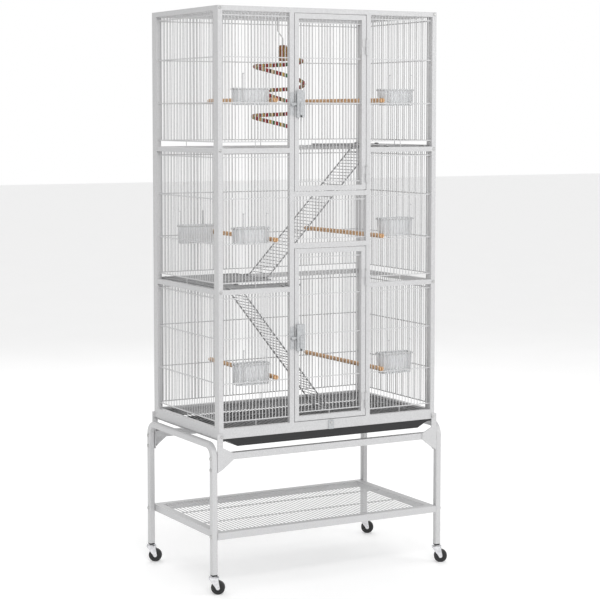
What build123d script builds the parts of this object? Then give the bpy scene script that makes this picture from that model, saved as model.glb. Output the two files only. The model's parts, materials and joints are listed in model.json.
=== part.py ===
from build123d import *
from math import cos, hypot, pi, radians, sin, sqrt
import os

os.makedirs("parts", exist_ok=True)

# A tall rolling bird cage. X runs to the right, Y to the back and Z up.
# The origin is on the floor, under the middle of the cage. All sizes are millimetres.

# Driving dimensions of the cage
cage_w = 764.0
cage_d = 464.0
cage_top = 1750.0
tube = 15.0
base_bottom = 467.0
level_pitch = 419.0

# Driving dimensions of the wirework
wire_r = 1.2
bar = 3.0
wire_pitch = 11.6
weld = 1.0
low_gap = 19.0
high_gap = 12.0

# Driving dimensions of the doors, their hinges and latches
column_w = 284.0
door_gap = 2.0
upper_door_bottom = 1201.0
lower_door_top = 1026.0
hinge_inset = 97.0
hinge_low_inset = 46.5
knuckle_r = 3.5
knuckle_h = 24.0
pin_r = 1.75
leaf_w = 14.0
leaf_t = 1.5
latch_h = 82.0
latch_w = 27.0
latch_d = 11.0
latch_inset = 3.0
upper_latch_drop = 3.0
lower_latch_drop = 7.0
lever_offset = 2.5
latch_sheet = 2.0
tongue_h = 7.0
tongue_t = 4.0
tongue_len = 30.0
lever_shaft_r = 3.0
tab_len = 28.0
tab_t = 3.0

# Driving dimensions of the stand
leg_tube = 19.0
leg_corner = 4.0
leg_wall = 1.2
leg_bottom = 60.0
stand_gap = 6.5
leg_y = 226.0
side_tube_z = 447.5
bend_r = 35.0
cross_tube = 20.0
cross_bottom = 403.0
shelf_bottom = 164.0
shelf_h = 21.0
plate = 3.0
gusset_low = 367.0
gusset_reach = 53.0
strip_w = 18.0
strip_top = 484.0
gusset_bolt_low = 9.0
gusset_bolt_high = 43.0
stand_wire_pitch = 13.0

# Driving dimensions of the casters
wheel_r = 21.0
wheel_w = 16.0
trail = 12.3
trail_angle = -31.0
axle_r = 3.0
stem_r = 4.0
fork_t = 2.0
housing_r = 16.0
housing_h = 11.0
plug_h = 35.0
hub_wall = 3.0
web_depth = 2.5
web_middle = 11.1
web_span = 6.7
collar_h = 2.0

# Driving dimensions of the tray, its catch and the floor grate
sheet = 1.2
tray_bottom = 442.0
tray_floor_half = 320.0
tray_side_half = 356.0
tray_half = 369.5
tray_flange_z = 461.5
tray_lip_top = 466.0
tray_front = 231.0
tray_back = 214.0
ledge_w = 15.0
runner_t = 1.5
ledge_t = 2.0
grate_ledge = 12.0
catch_w = 20.0
catch_t = 2.0
catch_top = 495.0
catch_x = 2.0
grate_rim = 4.0
grate_h = 10.0
grate_pitch = 12.5

# Driving dimensions of the shelves, ladders, perches and cups
shelf_rim = 5.0
peg_inset = 25.0
peg_column = 65.0
shelf_pitch = 12.2
middle_shelf_edge = -95.0
middle_notch_x = -277.0
middle_notch_y = (-150.0, -24.0)
upper_shelf_edge = 185.0
upper_notch_x = 310.0
upper_notch_y = (0.0, 146.0)
rail_r = 2.2
ladder_bend = 3.3
ladder_foot = 13.2
hook_drop = 8.8
rung_pitch = 13.0
lower_ramp_y = (-142.0, -32.0)
lower_ramp_foot = 62.0
upper_ramp_y = (8.0, 138.0)
perch_r = 7.0
perch_end = 4.5
perch_x = 187.0
perch_back_left = 183.5
perch_back_right = 172.0
cup_centre = 256.0
back_cup_centre = -249.0
back_cup_drop = 24.5
back_cup_h = 59.0
cup_w = 112.0
cup_d = 48.0
cup_wall = 1.8
cup_rim = 2.0
cup_corner = 12.0
cup_taper = 3.0
cup_lip = 2.5
ring_r = 1.5
hook_rise = 45.0
ring_span = 3.5

# The front cups: name, side, level, drop below the level bar and height
cup_places = (("left_high", -1, 2, 6.5, 51.0), ("left_middle", -1, 1, 3.5, 51.0),
              ("left_low", -1, 0, 11.0, 65.0), ("right_high", 1, 2, 6.5, 51.0),
              ("right_middle", 1, 1, -6.5, 56.0), ("right_low", 1, 0, 11.0, 65.0))

# Driving dimensions of the rope perch
rope_r = 6.5
spiral_x = -52.0
spiral_top = 1596.0
spiral_drop = 78.0
spiral_wave = 9.5
turn_radii = (77.0, 77.0, 77.0, 60.0, 77.0, 84.0, 65.0)
spiral_turns = 2.71
spiral_steps = 11
head_x = -39.0
head_r = 16.0
head_z = (1597.0, 1648.0)
exit_angle = -60.0
exit_z = 1606.0
exit_reach = 20.0
rope_end_x = -37.0
rope_end_z = 1358.0
end_cap = 13.0
tassel = 14.0
hook_wire_r = 1.5
jog_z = (1692.0, 1668.0)

# Fasteners
bolt_r = 2.5
bolt_head_r = 4.5
bolt_head_h = 2.5
stand_bolt_r = 3.0
stand_head_r = 5.5
stand_head_h = 3.0
head_rounding = 0.6
grip = 12.0

# Clearances
running = 0.05
seat = 0.3
slack = 1.0

# Places worked out from the driving dimensions
half_w = cage_w / 2
half_d = cage_d / 2
panel_bottom = base_bottom + tube
in_w = half_w - tube
in_d = half_d - tube
wire_plane = half_d - tube / 2
top_rail_z = cage_top - tube / 2
rail_heights = [panel_bottom + tube / 2] + [top_rail_z - level_pitch * step for step in (2, 1, 0)]
field_heights = [(low + tube / 2, high - tube / 2) for low, high in zip(rail_heights, rail_heights[1:])]
third_heights = [low + (high - low) / 3 for low, high in field_heights]
hinge_x = column_w / 2 - tube - slack
hinge_y = -(half_d + knuckle_r + seat)
knuckle_step = (knuckle_h + seat) / 2
upper_door_z = (upper_door_bottom, cage_top - tube - door_gap)
lower_door_z = (panel_bottom + tube + door_gap, lower_door_top)
hinge_heights = [height for low, high in (upper_door_z, lower_door_z)
                 for height in (low + hinge_low_inset, high - hinge_inset)]
leg_x = half_w + stand_gap + leg_tube / 2
leg_in = leg_x - leg_tube / 2
leg_out = leg_x + leg_tube / 2
post_bolt_x = half_w - tube / 2
tray_slope = (tray_side_half - tray_floor_half) / (tray_flange_z - tray_bottom)
ledge_top = tray_flange_z - sheet - seat
grate_bottom = panel_bottom - slack


def finish(part, name):
    """Label one finished piece and write it as a STEP file."""
    part.label = name
    export_step(part, f"parts/{name}.step")


def wall_plane(x, y, turn):
    """An upright plane whose local X runs level and local Y runs up, turned about Z."""
    return Plane(origin=(x, y, 0), x_dir=(cos(radians(turn)), sin(radians(turn)), 0),
                 z_dir=(sin(radians(turn)), -cos(radians(turn)), 0))


def wire_count(gap):
    """How many wires fill a gap, as an odd number so that one stands in the middle."""
    return 2 * round((gap / wire_pitch - 2) / 2) + 1


def wire_field(plane, x0, x1, y0, y1, low, bars):
    """Upright wires and level bars between four rails. Only the middle wire reaches the lower rail."""
    width = x1 - x0
    middle = (x0 + x1) / 2
    count = wire_count(width)
    foot = Plane(origin=plane.from_local_coords((middle, y0 + low, 0)), x_dir=plane.x_dir, z_dir=plane.y_dir)
    with BuildPart() as field:
        with BuildSketch(plane):
            with Locations(*[(middle, height) for height in (y0 + low, *bars)]):
                Rectangle(width + 2 * weld, bar)
        extrude(amount=bar / 2, both=True)
        with BuildSketch(foot):
            with GridLocations(width / (count + 1), 1, count, 1):
                Circle(wire_r)
        extrude(amount=y1 - y0 - low + weld, clean=False)
        with BuildSketch(foot):
            Circle(wire_r)
        extrude(amount=-low - weld, clean=False)
    return field.part


def level_bars(low, high):
    """Heights of the level bars of one level: two at the thirds and one under the rail above."""
    return (low + (high - low) / 3, low + (high - low) * 2 / 3, high - high_gap)


def round_cut(plane, places, radius, depth):
    """Round pieces to cut away, going in from a flat face at places given in its local axes."""
    with BuildPart() as holes:
        with BuildSketch(plane):
            with Locations(*places):
                Circle(radius)
        extrude(amount=-depth)
    return holes.part


def bolt(plane, place, head_r, head_h, shank_r, length):
    """One dome-headed bolt, seated on a plane that faces its head."""
    seat_plane = Plane(origin=plane.from_local_coords((place[0], place[1], 0)), x_dir=plane.x_dir,
                       z_dir=plane.z_dir)
    with BuildPart() as one:
        with BuildSketch(seat_plane):
            Circle(head_r)
        extrude(amount=head_h)
        top_face = one.faces().sort_by(Axis(seat_plane.origin, seat_plane.z_dir))[-1]
        fillet(top_face.edges(), head_h * head_rounding)
        with BuildSketch(seat_plane):
            Circle(shank_r)
        extrude(amount=-length)
    return one.part


def framed_wall(plane, width, cuts):
    """A full-height wall panel: a tube frame with level rails, filled with wires at each level."""
    height = cage_top - panel_bottom
    with BuildPart() as wall:
        with BuildSketch(plane):
            with Locations((0, panel_bottom + height / 2)):
                Rectangle(width, height)
            for low, high in field_heights:
                with Locations((0, (low + high) / 2)):
                    Rectangle(width - 2 * tube, high - low, mode=Mode.SUBTRACT)
        extrude(amount=tube / 2, both=True)
        for low, high in field_heights:
            add(wire_field(plane, tube - width / 2, width / 2 - tube, low, high, low_gap,
                           level_bars(low, high)), clean=False)
        for cut in cuts:
            add(cut, mode=Mode.SUBTRACT, clean=False)
    return wall.part


def flat_grille(plane, width, depth, rim, rim_t, pitch, cross_bars, lift):
    """A level grille: a rim, wires along local Y at a height over its middle, and bars along local X."""
    count = 2 * round((width / pitch - 2) / 2) + 1
    side = Plane(origin=plane.from_local_coords((0, -depth / 2 + rim - weld, lift)),
                 x_dir=plane.x_dir, z_dir=plane.y_dir)
    with BuildPart() as grille:
        with BuildSketch(plane):
            Rectangle(width, depth)
            Rectangle(width - 2 * rim, depth - 2 * rim, mode=Mode.SUBTRACT)
        extrude(amount=rim_t / 2, both=True)
        with BuildSketch(plane.offset(lift - bar / 2)):
            with Locations(*[(0, y) for y in cross_bars]):
                Rectangle(width - 2 * rim + 2 * weld, bar)
        extrude(amount=bar / 2, both=True, clean=False)
        with BuildSketch(side):
            with GridLocations((width - 2 * rim) / (count + 1), 1, count, 1):
                Circle(wire_r)
        extrude(amount=depth - 2 * rim + 2 * weld, clean=False)
    return grille.part


# Wall panels. Bolts through the front and back posts hold the side panels between them.

front_plane = wall_plane(0, -wire_plane, 0)
back_plane = wall_plane(0, wire_plane, 180)
post_places = [(side * post_bolt_x, height) for height in rail_heights[1:] for side in (-1, 1)]


def post_holes(plane):
    """Through holes in the two posts of a front or back panel."""
    return round_cut(plane.offset(tube / 2), post_places, bolt_r + running, tube)


def end_holes(side):
    """The holes in both ends of a side panel that take the panel bolts."""
    places = [(side * post_bolt_x, height) for height in rail_heights[1:]]
    mirrored = [(-x, height) for x, height in places]
    return [round_cut(wall_plane(0, -in_d, 0), places, bolt_r + running, grip + slack),
            round_cut(wall_plane(0, in_d, 180), mirrored, bolt_r + running, grip + slack)]


side_width = cage_d - 2 * tube
finish(framed_wall(back_plane, cage_w, [post_holes(back_plane)]), "back_panel")
finish(framed_wall(wall_plane(-post_bolt_x, 0, -90), side_width, end_holes(-1)), "left_panel")
finish(framed_wall(wall_plane(post_bolt_x, 0, 90), side_width, end_holes(1)), "right_panel")


def hinge_leaf(height, side):
    """One hinge leaf and its knuckle around the given height. The side is 1 on the post, -1 on the door."""
    with BuildPart() as leaf:
        with BuildSketch(Plane.XY.offset(height - knuckle_h / 2)):
            with Locations((hinge_x + side * leaf_w / 2, -(half_d + leaf_t / 2))):
                Rectangle(leaf_w, leaf_t)
            with Locations((hinge_x, hinge_y)):
                Circle(knuckle_r)
                Circle(pin_r + running, mode=Mode.SUBTRACT)
        extrude(amount=knuckle_h)
    return leaf.part


# Front panel, with the column that holds the two doors

column_in = column_w / 2 - tube
mid_rail_top = upper_door_bottom - door_gap
mid_rail_bottom = lower_door_top + door_gap
catch_screw_z = panel_bottom + tube / 3
with BuildPart() as front_panel:
    front_height = cage_top - panel_bottom
    with BuildSketch(front_plane):
        with Locations((0, panel_bottom + front_height / 2)):
            Rectangle(cage_w, front_height)
        field_w = in_w - column_w / 2
        field_x = (in_w + column_w / 2) / 2
        for low, high in field_heights:
            with Locations((-field_x, (low + high) / 2), (field_x, (low + high) / 2)):
                Rectangle(field_w, high - low, mode=Mode.SUBTRACT)
        with Locations((0, (mid_rail_top + field_heights[-1][1]) / 2)):
            Rectangle(2 * column_in, field_heights[-1][1] - mid_rail_top, mode=Mode.SUBTRACT)
        with Locations((0, (mid_rail_bottom + field_heights[0][0]) / 2)):
            Rectangle(2 * column_in, mid_rail_bottom - field_heights[0][0], mode=Mode.SUBTRACT)
        with Locations((0, (mid_rail_top + mid_rail_bottom) / 2)):
            Rectangle(2 * column_in, mid_rail_top - mid_rail_bottom - 2 * tube, mode=Mode.SUBTRACT)
    extrude(amount=tube / 2, both=True)
    for low, high in field_heights:
        for x0, x1 in ((-in_w, -column_w / 2), (column_w / 2, in_w)):
            add(wire_field(front_plane, x0, x1, low, high, low_gap, level_bars(low, high)), clean=False)
    add(wire_field(front_plane, -column_in, column_in, mid_rail_bottom + tube, mid_rail_top - tube,
                   high_gap, (mid_rail_top - tube - high_gap,)), clean=False)
    add(post_holes(front_plane), mode=Mode.SUBTRACT, clean=False)
    add(round_cut(front_plane.offset(tube / 2), [(catch_x, catch_screw_z)], bolt_r + running, tube / 2),
        mode=Mode.SUBTRACT, clean=False)
    for height in hinge_heights:
        add(hinge_leaf(height - knuckle_step, 1), clean=False)
finish(front_panel.part, "front_panel")

# Top panel, framed inside the four walls

top_plane = Plane.XY.offset(cage_top - tube / 2)
top_w = 2 * (in_w - seat / 2)
finish(flat_grille(top_plane, top_w, 2 * (in_d - seat / 2), tube, tube, wire_pitch,
                   (-in_d / 3, in_d / 3), 0), "top_panel")

# Bolts of the cage: through the posts, and through the stand's strips into the base frame

strip_bolt_z = base_bottom + tube / 2
bolt_planes = (wall_plane(0, -half_d, 0), wall_plane(0, half_d, 180))
with BuildPart() as cage_bolts:
    for plane in bolt_planes:
        for place in post_places:
            add(bolt(plane, place, bolt_head_r, bolt_head_h, bolt_r, tube + grip))
        for side in (-1, 1):
            add(bolt(plane.offset(plate), (side * post_bolt_x, strip_bolt_z), bolt_head_r,
                     bolt_head_h, bolt_r, plate + grip))
finish(cage_bolts.part, "cage_bolts")


# Doors, latches and hinge pins

def door_panel(z0, z1, bars):
    """A door frame with wires, level bars and the door halves of its two hinges."""
    door_half = column_in - door_gap
    with BuildPart() as door:
        with BuildSketch(front_plane):
            with Locations((0, (z0 + z1) / 2)):
                Rectangle(2 * door_half, z1 - z0)
                Rectangle(2 * (door_half - tube), z1 - z0 - 2 * tube, mode=Mode.SUBTRACT)
        extrude(amount=tube / 2, both=True)
        add(wire_field(front_plane, tube - door_half, door_half - tube, z0 + tube, z1 - tube, high_gap,
                       (*bars, z1 - tube - high_gap)), clean=False)
        for height in (z0 + hinge_low_inset, z1 - hinge_inset):
            add(hinge_leaf(height + knuckle_step, -1), clean=False)
    return door.part


upper_third, upper_two_thirds = level_bars(*field_heights[2])[:2]
finish(door_panel(*upper_door_z, (upper_third, upper_two_thirds)), "upper_door")
finish(door_panel(*lower_door_z, level_bars(*field_heights[0])), "lower_door")

with BuildPart() as hinge_pins:
    for height in hinge_heights:
        with BuildSketch(Plane.XY.offset(height - 2 * knuckle_step)):
            with Locations((hinge_x, hinge_y)):
                Circle(pin_r)
        extrude(amount=4 * knuckle_step + seat)
        with BuildSketch(Plane.XY.offset(height + 2 * knuckle_step + seat / 2)):
            with Locations((hinge_x, hinge_y)):
                Circle(knuckle_r - slack / 2)
        extrude(amount=leaf_t)
finish(hinge_pins.part, "hinge_pins")

latch_heights = (upper_third - upper_latch_drop, level_bars(*field_heights[0])[1] - lower_latch_drop)
latch_face = wall_plane(0, -half_d, 0)
latch_x = door_gap - column_in + latch_inset + latch_w / 2
lever_x = latch_x + lever_offset
pocket_y = latch_sheet + slack / 2


def latch_housing(height):
    """The latch body on the door's stile, with a pocket for the lever that is open towards the post."""
    with BuildPart() as housing:
        with BuildSketch(latch_face):
            with Locations((latch_x, height)):
                RectangleRounded(latch_w, latch_h, leg_corner)
        extrude(amount=latch_d)
        fillet(housing.faces().sort_by(Axis.Y)[0].edges(), latch_sheet)
        with BuildSketch(latch_face.offset(latch_sheet)):
            with Locations((latch_x - latch_w / 2, height + tongue_len / 3)):
                Rectangle(2 * (lever_offset + latch_w / 2 + tongue_h), tongue_len + tongue_h)
        extrude(amount=tongue_t + slack, mode=Mode.SUBTRACT)
        with BuildSketch(latch_face.offset(latch_d)):
            with Locations((lever_x, height)):
                Circle(lever_shaft_r + running)
        extrude(amount=-latch_d + latch_sheet, mode=Mode.SUBTRACT)
    return housing.part


def latch_lever(height):
    """The turning lever: a tongue that lies on the keeper, its shaft and the thumb tab in front."""
    with BuildPart() as lever:
        with BuildSketch(latch_face.offset(pocket_y)):
            with Locations((lever_x - tongue_len / 2, height)):
                SlotCenterToCenter(tongue_len, tongue_h)
        extrude(amount=tongue_t)
        with BuildSketch(latch_face.offset(pocket_y)):
            with Locations((lever_x, height)):
                Circle(lever_shaft_r)
        extrude(amount=latch_d - pocket_y + seat + tab_t / 2)
        with BuildSketch(latch_face.offset(latch_d + seat)):
            with Locations((lever_x, height - tab_len / 2)):
                SlotCenterToCenter(tab_len, 2 * tongue_h, rotation=90)
        extrude(amount=tab_t)
        fillet(lever.faces().sort_by(Axis.Y)[0].edges(), tab_t / 3)
    return lever.part


def latch_keeper(height):
    """The plate on the post, with a ledge that the tongue drops onto."""
    keeper_x = -(column_w - tube) / 2
    with BuildPart() as keeper:
        with BuildSketch(latch_face):
            with Locations((keeper_x, height)):
                RectangleRounded(tube - 2 * slack, latch_h - 2 * tongue_h, slack)
        extrude(amount=leaf_t)
        with BuildSketch(latch_face.offset(leaf_t)):
            with Locations((keeper_x + slack, height - tongue_h / 2 - seat - leaf_t / 2)):
                Rectangle(tube - 4 * slack, leaf_t)
        extrude(amount=pocket_y + tongue_t)
    return keeper.part


for label, height in zip(("upper", "lower"), latch_heights):
    finish(latch_housing(height), f"{label}_latch_housing")
    finish(latch_lever(height), f"{label}_latch_lever")
with BuildPart() as latch_keepers:
    for height in latch_heights:
        add(latch_keeper(height))
finish(latch_keepers.part, "latch_keepers")

# Base frame: the tube frame under the panels, with the grate's ledges and the tray's runners

with BuildPart() as base_frame:
    with BuildSketch(Plane.XY.offset(base_bottom)):
        Rectangle(cage_w, cage_d)
        Rectangle(2 * in_w, 2 * in_d, mode=Mode.SUBTRACT)
    extrude(amount=tube)
    with BuildSketch(Plane.XY.offset(grate_bottom - seat - ledge_t)):
        with Locations((-in_w + grate_ledge / 2, 0), (in_w - grate_ledge / 2, 0)):
            Rectangle(grate_ledge, 2 * in_d)
    extrude(amount=ledge_t)
    runner_in = tray_half + 2 * slack + runner_t - ledge_w
    with BuildSketch(Plane.XY.offset(ledge_top - runner_t)):
        with Locations(*[(side * (runner_in + ledge_w / 2), -slack) for side in (-1, 1)]):
            Rectangle(ledge_w, 2 * (half_d - 2 * runner_t - slack))
    extrude(amount=runner_t)
    with BuildSketch(Plane.XY.offset(ledge_top - runner_t)):
        with Locations(*[(side * (runner_in + ledge_w - runner_t / 2), -slack) for side in (-1, 1)]):
            Rectangle(runner_t, 2 * (half_d - 2 * runner_t - slack))
    extrude(amount=base_bottom - ledge_top + runner_t)
    strip_places = [(side * (half_w - tube / 2), strip_bolt_z) for side in (-1, 1)]
    for plane in bolt_planes:
        add(round_cut(plane, strip_places, bolt_r + running, grip + slack), mode=Mode.SUBTRACT)
finish(base_frame.part, "base_frame")

# Floor grate, lying loose on the ledges

grate_plane = Plane.XY.offset(grate_bottom + grate_h / 2)
finish(flat_grille(grate_plane, 2 * (in_w - slack / 2), 2 * (in_d - slack / 2), grate_rim, grate_h,
                   grate_pitch, (-in_d / 2, 0, in_d / 2), grate_h / 2 - wire_r), "floor_grate")


# Tray: a folded sheet with sloping sides, hung by its side flanges on the runners

def tray_width(height, shift):
    """Half the width of the tray's sloping sides at a height, moved in by a share of the sheet."""
    return tray_floor_half + (height - tray_bottom) * tray_slope - shift * hypot(1, tray_slope)


tray_len = tray_front + tray_back
with BuildPart() as tray:
    with BuildSketch(Plane.XZ.offset(tray_front)):
        Polygon((-tray_floor_half, tray_bottom), (tray_floor_half, tray_bottom),
                (tray_side_half, tray_flange_z), (-tray_side_half, tray_flange_z), align=None)
        with Locations((0, tray_flange_z - sheet / 2)):
            Rectangle(2 * tray_half, sheet)
    extrude(amount=-tray_len)
    with BuildSketch(Plane.XZ.offset(tray_front - sheet)):
        low = tray_bottom + sheet
        high = tray_flange_z + slack
        Polygon((-tray_width(low, sheet), low), (tray_width(low, sheet), low),
                (tray_width(high, sheet), high), (-tray_width(high, sheet), high), align=None)
    extrude(amount=-tray_len + 2 * sheet, mode=Mode.SUBTRACT)
    with BuildSketch(Plane.XZ.offset(tray_front)):
        with Locations((0, (tray_flange_z - sheet + tray_lip_top) / 2)):
            Rectangle(2 * tray_half, tray_lip_top - tray_flange_z + sheet)
    extrude(amount=-sheet)
finish(tray.part, "tray")

# Tray catch: a turning plate in front of the tray's lip, held by a screw in the panel's lower rail

catch_plane = wall_plane(0, -half_d - seat, 0)
catch_bottom = tray_lip_top + 2 * seat
with BuildPart() as tray_catch:
    with BuildSketch(catch_plane):
        with Locations((catch_x, (catch_bottom + catch_top) / 2)):
            RectangleRounded(catch_w, catch_top - catch_bottom, leg_corner)
        with Locations((catch_x, catch_screw_z)):
            Circle(bolt_r + running, mode=Mode.SUBTRACT)
    extrude(amount=catch_t)
finish(tray_catch.part, "tray_catch")

catch_screw = bolt(catch_plane.offset(catch_t + seat), (catch_x, catch_screw_z), bolt_head_r,
                   bolt_head_h, bolt_r, catch_t + 2 * seat + tube / 2 - slack)
finish(catch_screw, "tray_catch_screw")

# Side frames of the stand: one hollow square tube each, bent over the top

stand_bolt_z = (gusset_low + gusset_bolt_low, gusset_low + gusset_bolt_high, shelf_bottom + shelf_h / 2)


def stand_side(side):
    """A leg, the bent top tube and the other leg, with the bolt holes drilled across both legs."""
    x = side * leg_x
    with BuildPart() as frame:
        with BuildLine() as route:
            FilletPolyline((x, -leg_y, leg_bottom), (x, -leg_y, side_tube_z), (x, leg_y, side_tube_z),
                           (x, leg_y, leg_bottom), radius=bend_r)
        with BuildSketch(Plane(origin=(x, -leg_y, leg_bottom), x_dir=(1, 0, 0), z_dir=(0, 0, 1))):
            RectangleRounded(leg_tube, leg_tube, leg_corner)
            RectangleRounded(leg_tube - 2 * leg_wall, leg_tube - 2 * leg_wall, leg_corner - leg_wall,
                             mode=Mode.SUBTRACT)
        sweep(path=route.line)
        with BuildSketch(Plane.YZ.offset(x - leg_tube)):
            with Locations(*[(y, z) for y in (-leg_y, leg_y) for z in stand_bolt_z]):
                Circle(stand_bolt_r + running)
        extrude(amount=2 * leg_tube, mode=Mode.SUBTRACT)
    return frame.part


finish(stand_side(-1), "stand_side_left")
finish(stand_side(1), "stand_side_right")


def cross_rail(turn):
    """A level rail between the legs, with a folded gusset at each end that holds the cage and the leg."""
    face = wall_plane(0, 0, turn).offset(half_d)
    shoulder = leg_in - strip_w
    ear_top = side_tube_z - leg_tube
    with BuildPart() as rail:
        with BuildSketch(face.offset(-cross_tube / 2)):
            with Locations((0, cross_bottom + cross_tube / 2)):
                Rectangle(2 * (leg_in - plate), cross_tube)
        extrude(amount=cross_tube / 2, both=True)
        with BuildSketch(face):
            Polygon((leg_in, gusset_low), (leg_in - strip_w, gusset_low + strip_w / 2),
                    (leg_in - gusset_reach, cross_bottom),
                    (leg_in - gusset_reach, cross_bottom + cross_tube),
                    (shoulder, cross_bottom + cross_tube + strip_w), (shoulder, strip_top),
                    (leg_in, strip_top), align=None)
            mirror(about=Plane.YZ)
        extrude(amount=plate)
        with BuildSketch(Plane.YZ.offset(leg_in)):
            sign = 1 if turn else -1
            with Locations((sign * (half_d - leg_tube / 2 + plate / 2), (gusset_low + ear_top) / 2)):
                Rectangle(leg_tube + plate, ear_top - gusset_low)
        extrude(amount=-plate)
        mirror(about=Plane.YZ)
        with BuildSketch(Plane.YZ.offset(-leg_out)):
            with Locations(*[(sign * leg_y, z) for z in stand_bolt_z[:2]]):
                Circle(stand_bolt_r + running)
        extrude(amount=grip + leg_tube + slack, mode=Mode.SUBTRACT)
        with BuildSketch(Plane.YZ.offset(leg_out)):
            with Locations(*[(sign * leg_y, z) for z in stand_bolt_z[:2]]):
                Circle(stand_bolt_r + running)
        extrude(amount=-grip - leg_tube - slack, mode=Mode.SUBTRACT)
        add(round_cut(face.offset(plate), strip_places, bolt_r + running, plate), mode=Mode.SUBTRACT)
    return rail.part


finish(cross_rail(0), "stand_front_rail")
finish(cross_rail(180), "stand_rear_rail")

# Storage shelf between the legs: a tube frame with wires over two cross bars

shelf_half_w = leg_in - seat
shelf_half_d = leg_y + leg_tube / 2
with BuildPart() as stand_shelf:
    with BuildSketch(Plane.XY.offset(shelf_bottom)):
        Rectangle(2 * shelf_half_w, 2 * shelf_half_d)
        Rectangle(2 * (shelf_half_w - cross_tube), 2 * (shelf_half_d - cross_tube), mode=Mode.SUBTRACT)
    extrude(amount=shelf_h)
    mesh = flat_grille(Plane.XY.offset(shelf_bottom + shelf_h - shelf_rim / 2),
                       2 * (shelf_half_w - cross_tube + weld), 2 * (shelf_half_d - cross_tube + weld),
                       shelf_rim, shelf_rim, stand_wire_pitch, (-shelf_half_d / 3, shelf_half_d / 3),
                       wire_r / 2)
    add(mesh, clean=False)
    for side in (-1, 1):
        holes = round_cut(wall_plane(side * shelf_half_w, 0, side * 90),
                          [(y, stand_bolt_z[2]) for y in (-leg_y, leg_y)], stand_bolt_r + running,
                          grip + slack)
        add(holes, mode=Mode.SUBTRACT, clean=False)
finish(stand_shelf.part, "stand_shelf")

# Bolts of the stand, with their heads on the outer sides of the legs

with BuildPart() as stand_bolts:
    for side in (-1, 1):
        for y in (-leg_y, leg_y):
            for z in stand_bolt_z:
                add(bolt(wall_plane(side * leg_out, 0, side * 90), (side * y, z), stand_head_r, stand_head_h,
                         stand_bolt_r, leg_tube + seat + grip))
finish(stand_bolts.part, "stand_bolts")

# Plugs in the legs, and the casters

leg_places = {"fl": (-leg_x, -leg_y), "fr": (leg_x, -leg_y), "bl": (-leg_x, leg_y), "br": (leg_x, leg_y)}
plug_w = leg_tube - 2 * leg_wall - 2 * seat / 3
with BuildPart() as leg_plugs:
    with BuildSketch(Plane.XY.offset(leg_bottom)):
        with Locations(*leg_places.values()):
            RectangleRounded(plug_w, plug_w, leg_corner - leg_wall)
    extrude(amount=plug_h)
    with BuildSketch(Plane.XY.offset(leg_bottom - collar_h)):
        with Locations(*leg_places.values()):
            RectangleRounded(leg_tube, leg_tube, leg_corner)
    extrude(amount=collar_h)
    with BuildSketch(Plane.XY.offset(leg_bottom - collar_h)):
        with Locations(*leg_places.values()):
            Circle(stem_r + running)
    extrude(amount=collar_h + plug_h, mode=Mode.SUBTRACT)
finish(leg_plugs.part, "leg_plugs")

housing_top = leg_bottom - collar_h - seat
arm_y = wheel_w / 2 + slack + fork_t / 2


def caster_fork(place):
    """A domed swivel housing with its stem, two arms and the riveted axle of one wheel."""
    trail_dir = (cos(radians(trail_angle)), sin(radians(trail_angle)), 0)
    level = Plane(origin=(place[0], place[1], 0), x_dir=trail_dir, z_dir=(0, 0, 1))
    upright = Plane(origin=(place[0], place[1], 0), x_dir=trail_dir, z_dir=-level.y_dir)
    with BuildPart() as fork:
        with BuildSketch(upright):
            with BuildLine():
                dome = Polyline((0, housing_top - housing_h), (housing_r, housing_top - housing_h),
                                (housing_r, housing_top - housing_h / 2))
                rise = RadiusArc(dome @ 1, (stem_r, housing_top), -housing_r)
                Polyline(rise @ 1, (0, housing_top), (0, housing_top - housing_h))
            make_face()
        revolve(axis=Axis(upright.origin, (0, 0, 1)))
        with BuildSketch(level.offset(housing_top)):
            Circle(stem_r)
        extrude(amount=plug_h)
        with BuildSketch(level.offset(housing_top - housing_h)):
            Rectangle(2 * housing_r - fork_t, 2 * arm_y + fork_t)
        extrude(amount=fork_t)
        for side in (-1, 1):
            with BuildSketch(upright.offset(side * arm_y)):
                Polygon((-housing_r + fork_t, housing_top - housing_h),
                        (housing_r - fork_t, housing_top - housing_h),
                        (trail + 2 * axle_r, wheel_r), (trail - 2 * axle_r, wheel_r), align=None)
                with Locations((trail, wheel_r)):
                    Circle(2 * axle_r)
            extrude(amount=fork_t / 2, both=True)
        with BuildSketch(upright):
            with Locations((trail, wheel_r)):
                Circle(axle_r)
        extrude(amount=arm_y + fork_t, both=True)
    return fork.part


def caster_wheel(place):
    """A wheel with a rounded tread, a recessed web and a hub, bored to run on the axle."""
    trail_dir = (cos(radians(trail_angle)), sin(radians(trail_angle)), 0)
    centre = (place[0] + trail * trail_dir[0], place[1] + trail * trail_dir[1], wheel_r)
    across = Plane(origin=centre, x_dir=(0, 0, 1), z_dir=trail_dir)
    with BuildPart() as wheel:
        with BuildSketch(across):
            with Locations(((axle_r + running + wheel_r) / 2, 0)):
                RectangleRounded(wheel_r - axle_r - running, wheel_w, wheel_w / 5)
            with Locations((axle_r + running + hub_wall / 2, 0)):
                Rectangle(hub_wall, wheel_w)
            for side in (-1, 1):
                with Locations((web_middle, side * wheel_w / 2)):
                    Rectangle(web_span, web_depth * 2, mode=Mode.SUBTRACT)
        revolve(axis=Axis(centre, across.y_dir))
    return wheel.part


for corner, place in leg_places.items():
    finish(caster_fork(place), f"caster_fork_{corner}")
    finish(caster_wheel(place), f"caster_wheel_{corner}")


# Wire shelves: a rim with wires, cut open for the ladder, lying with short pegs on the panels' rails

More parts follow.
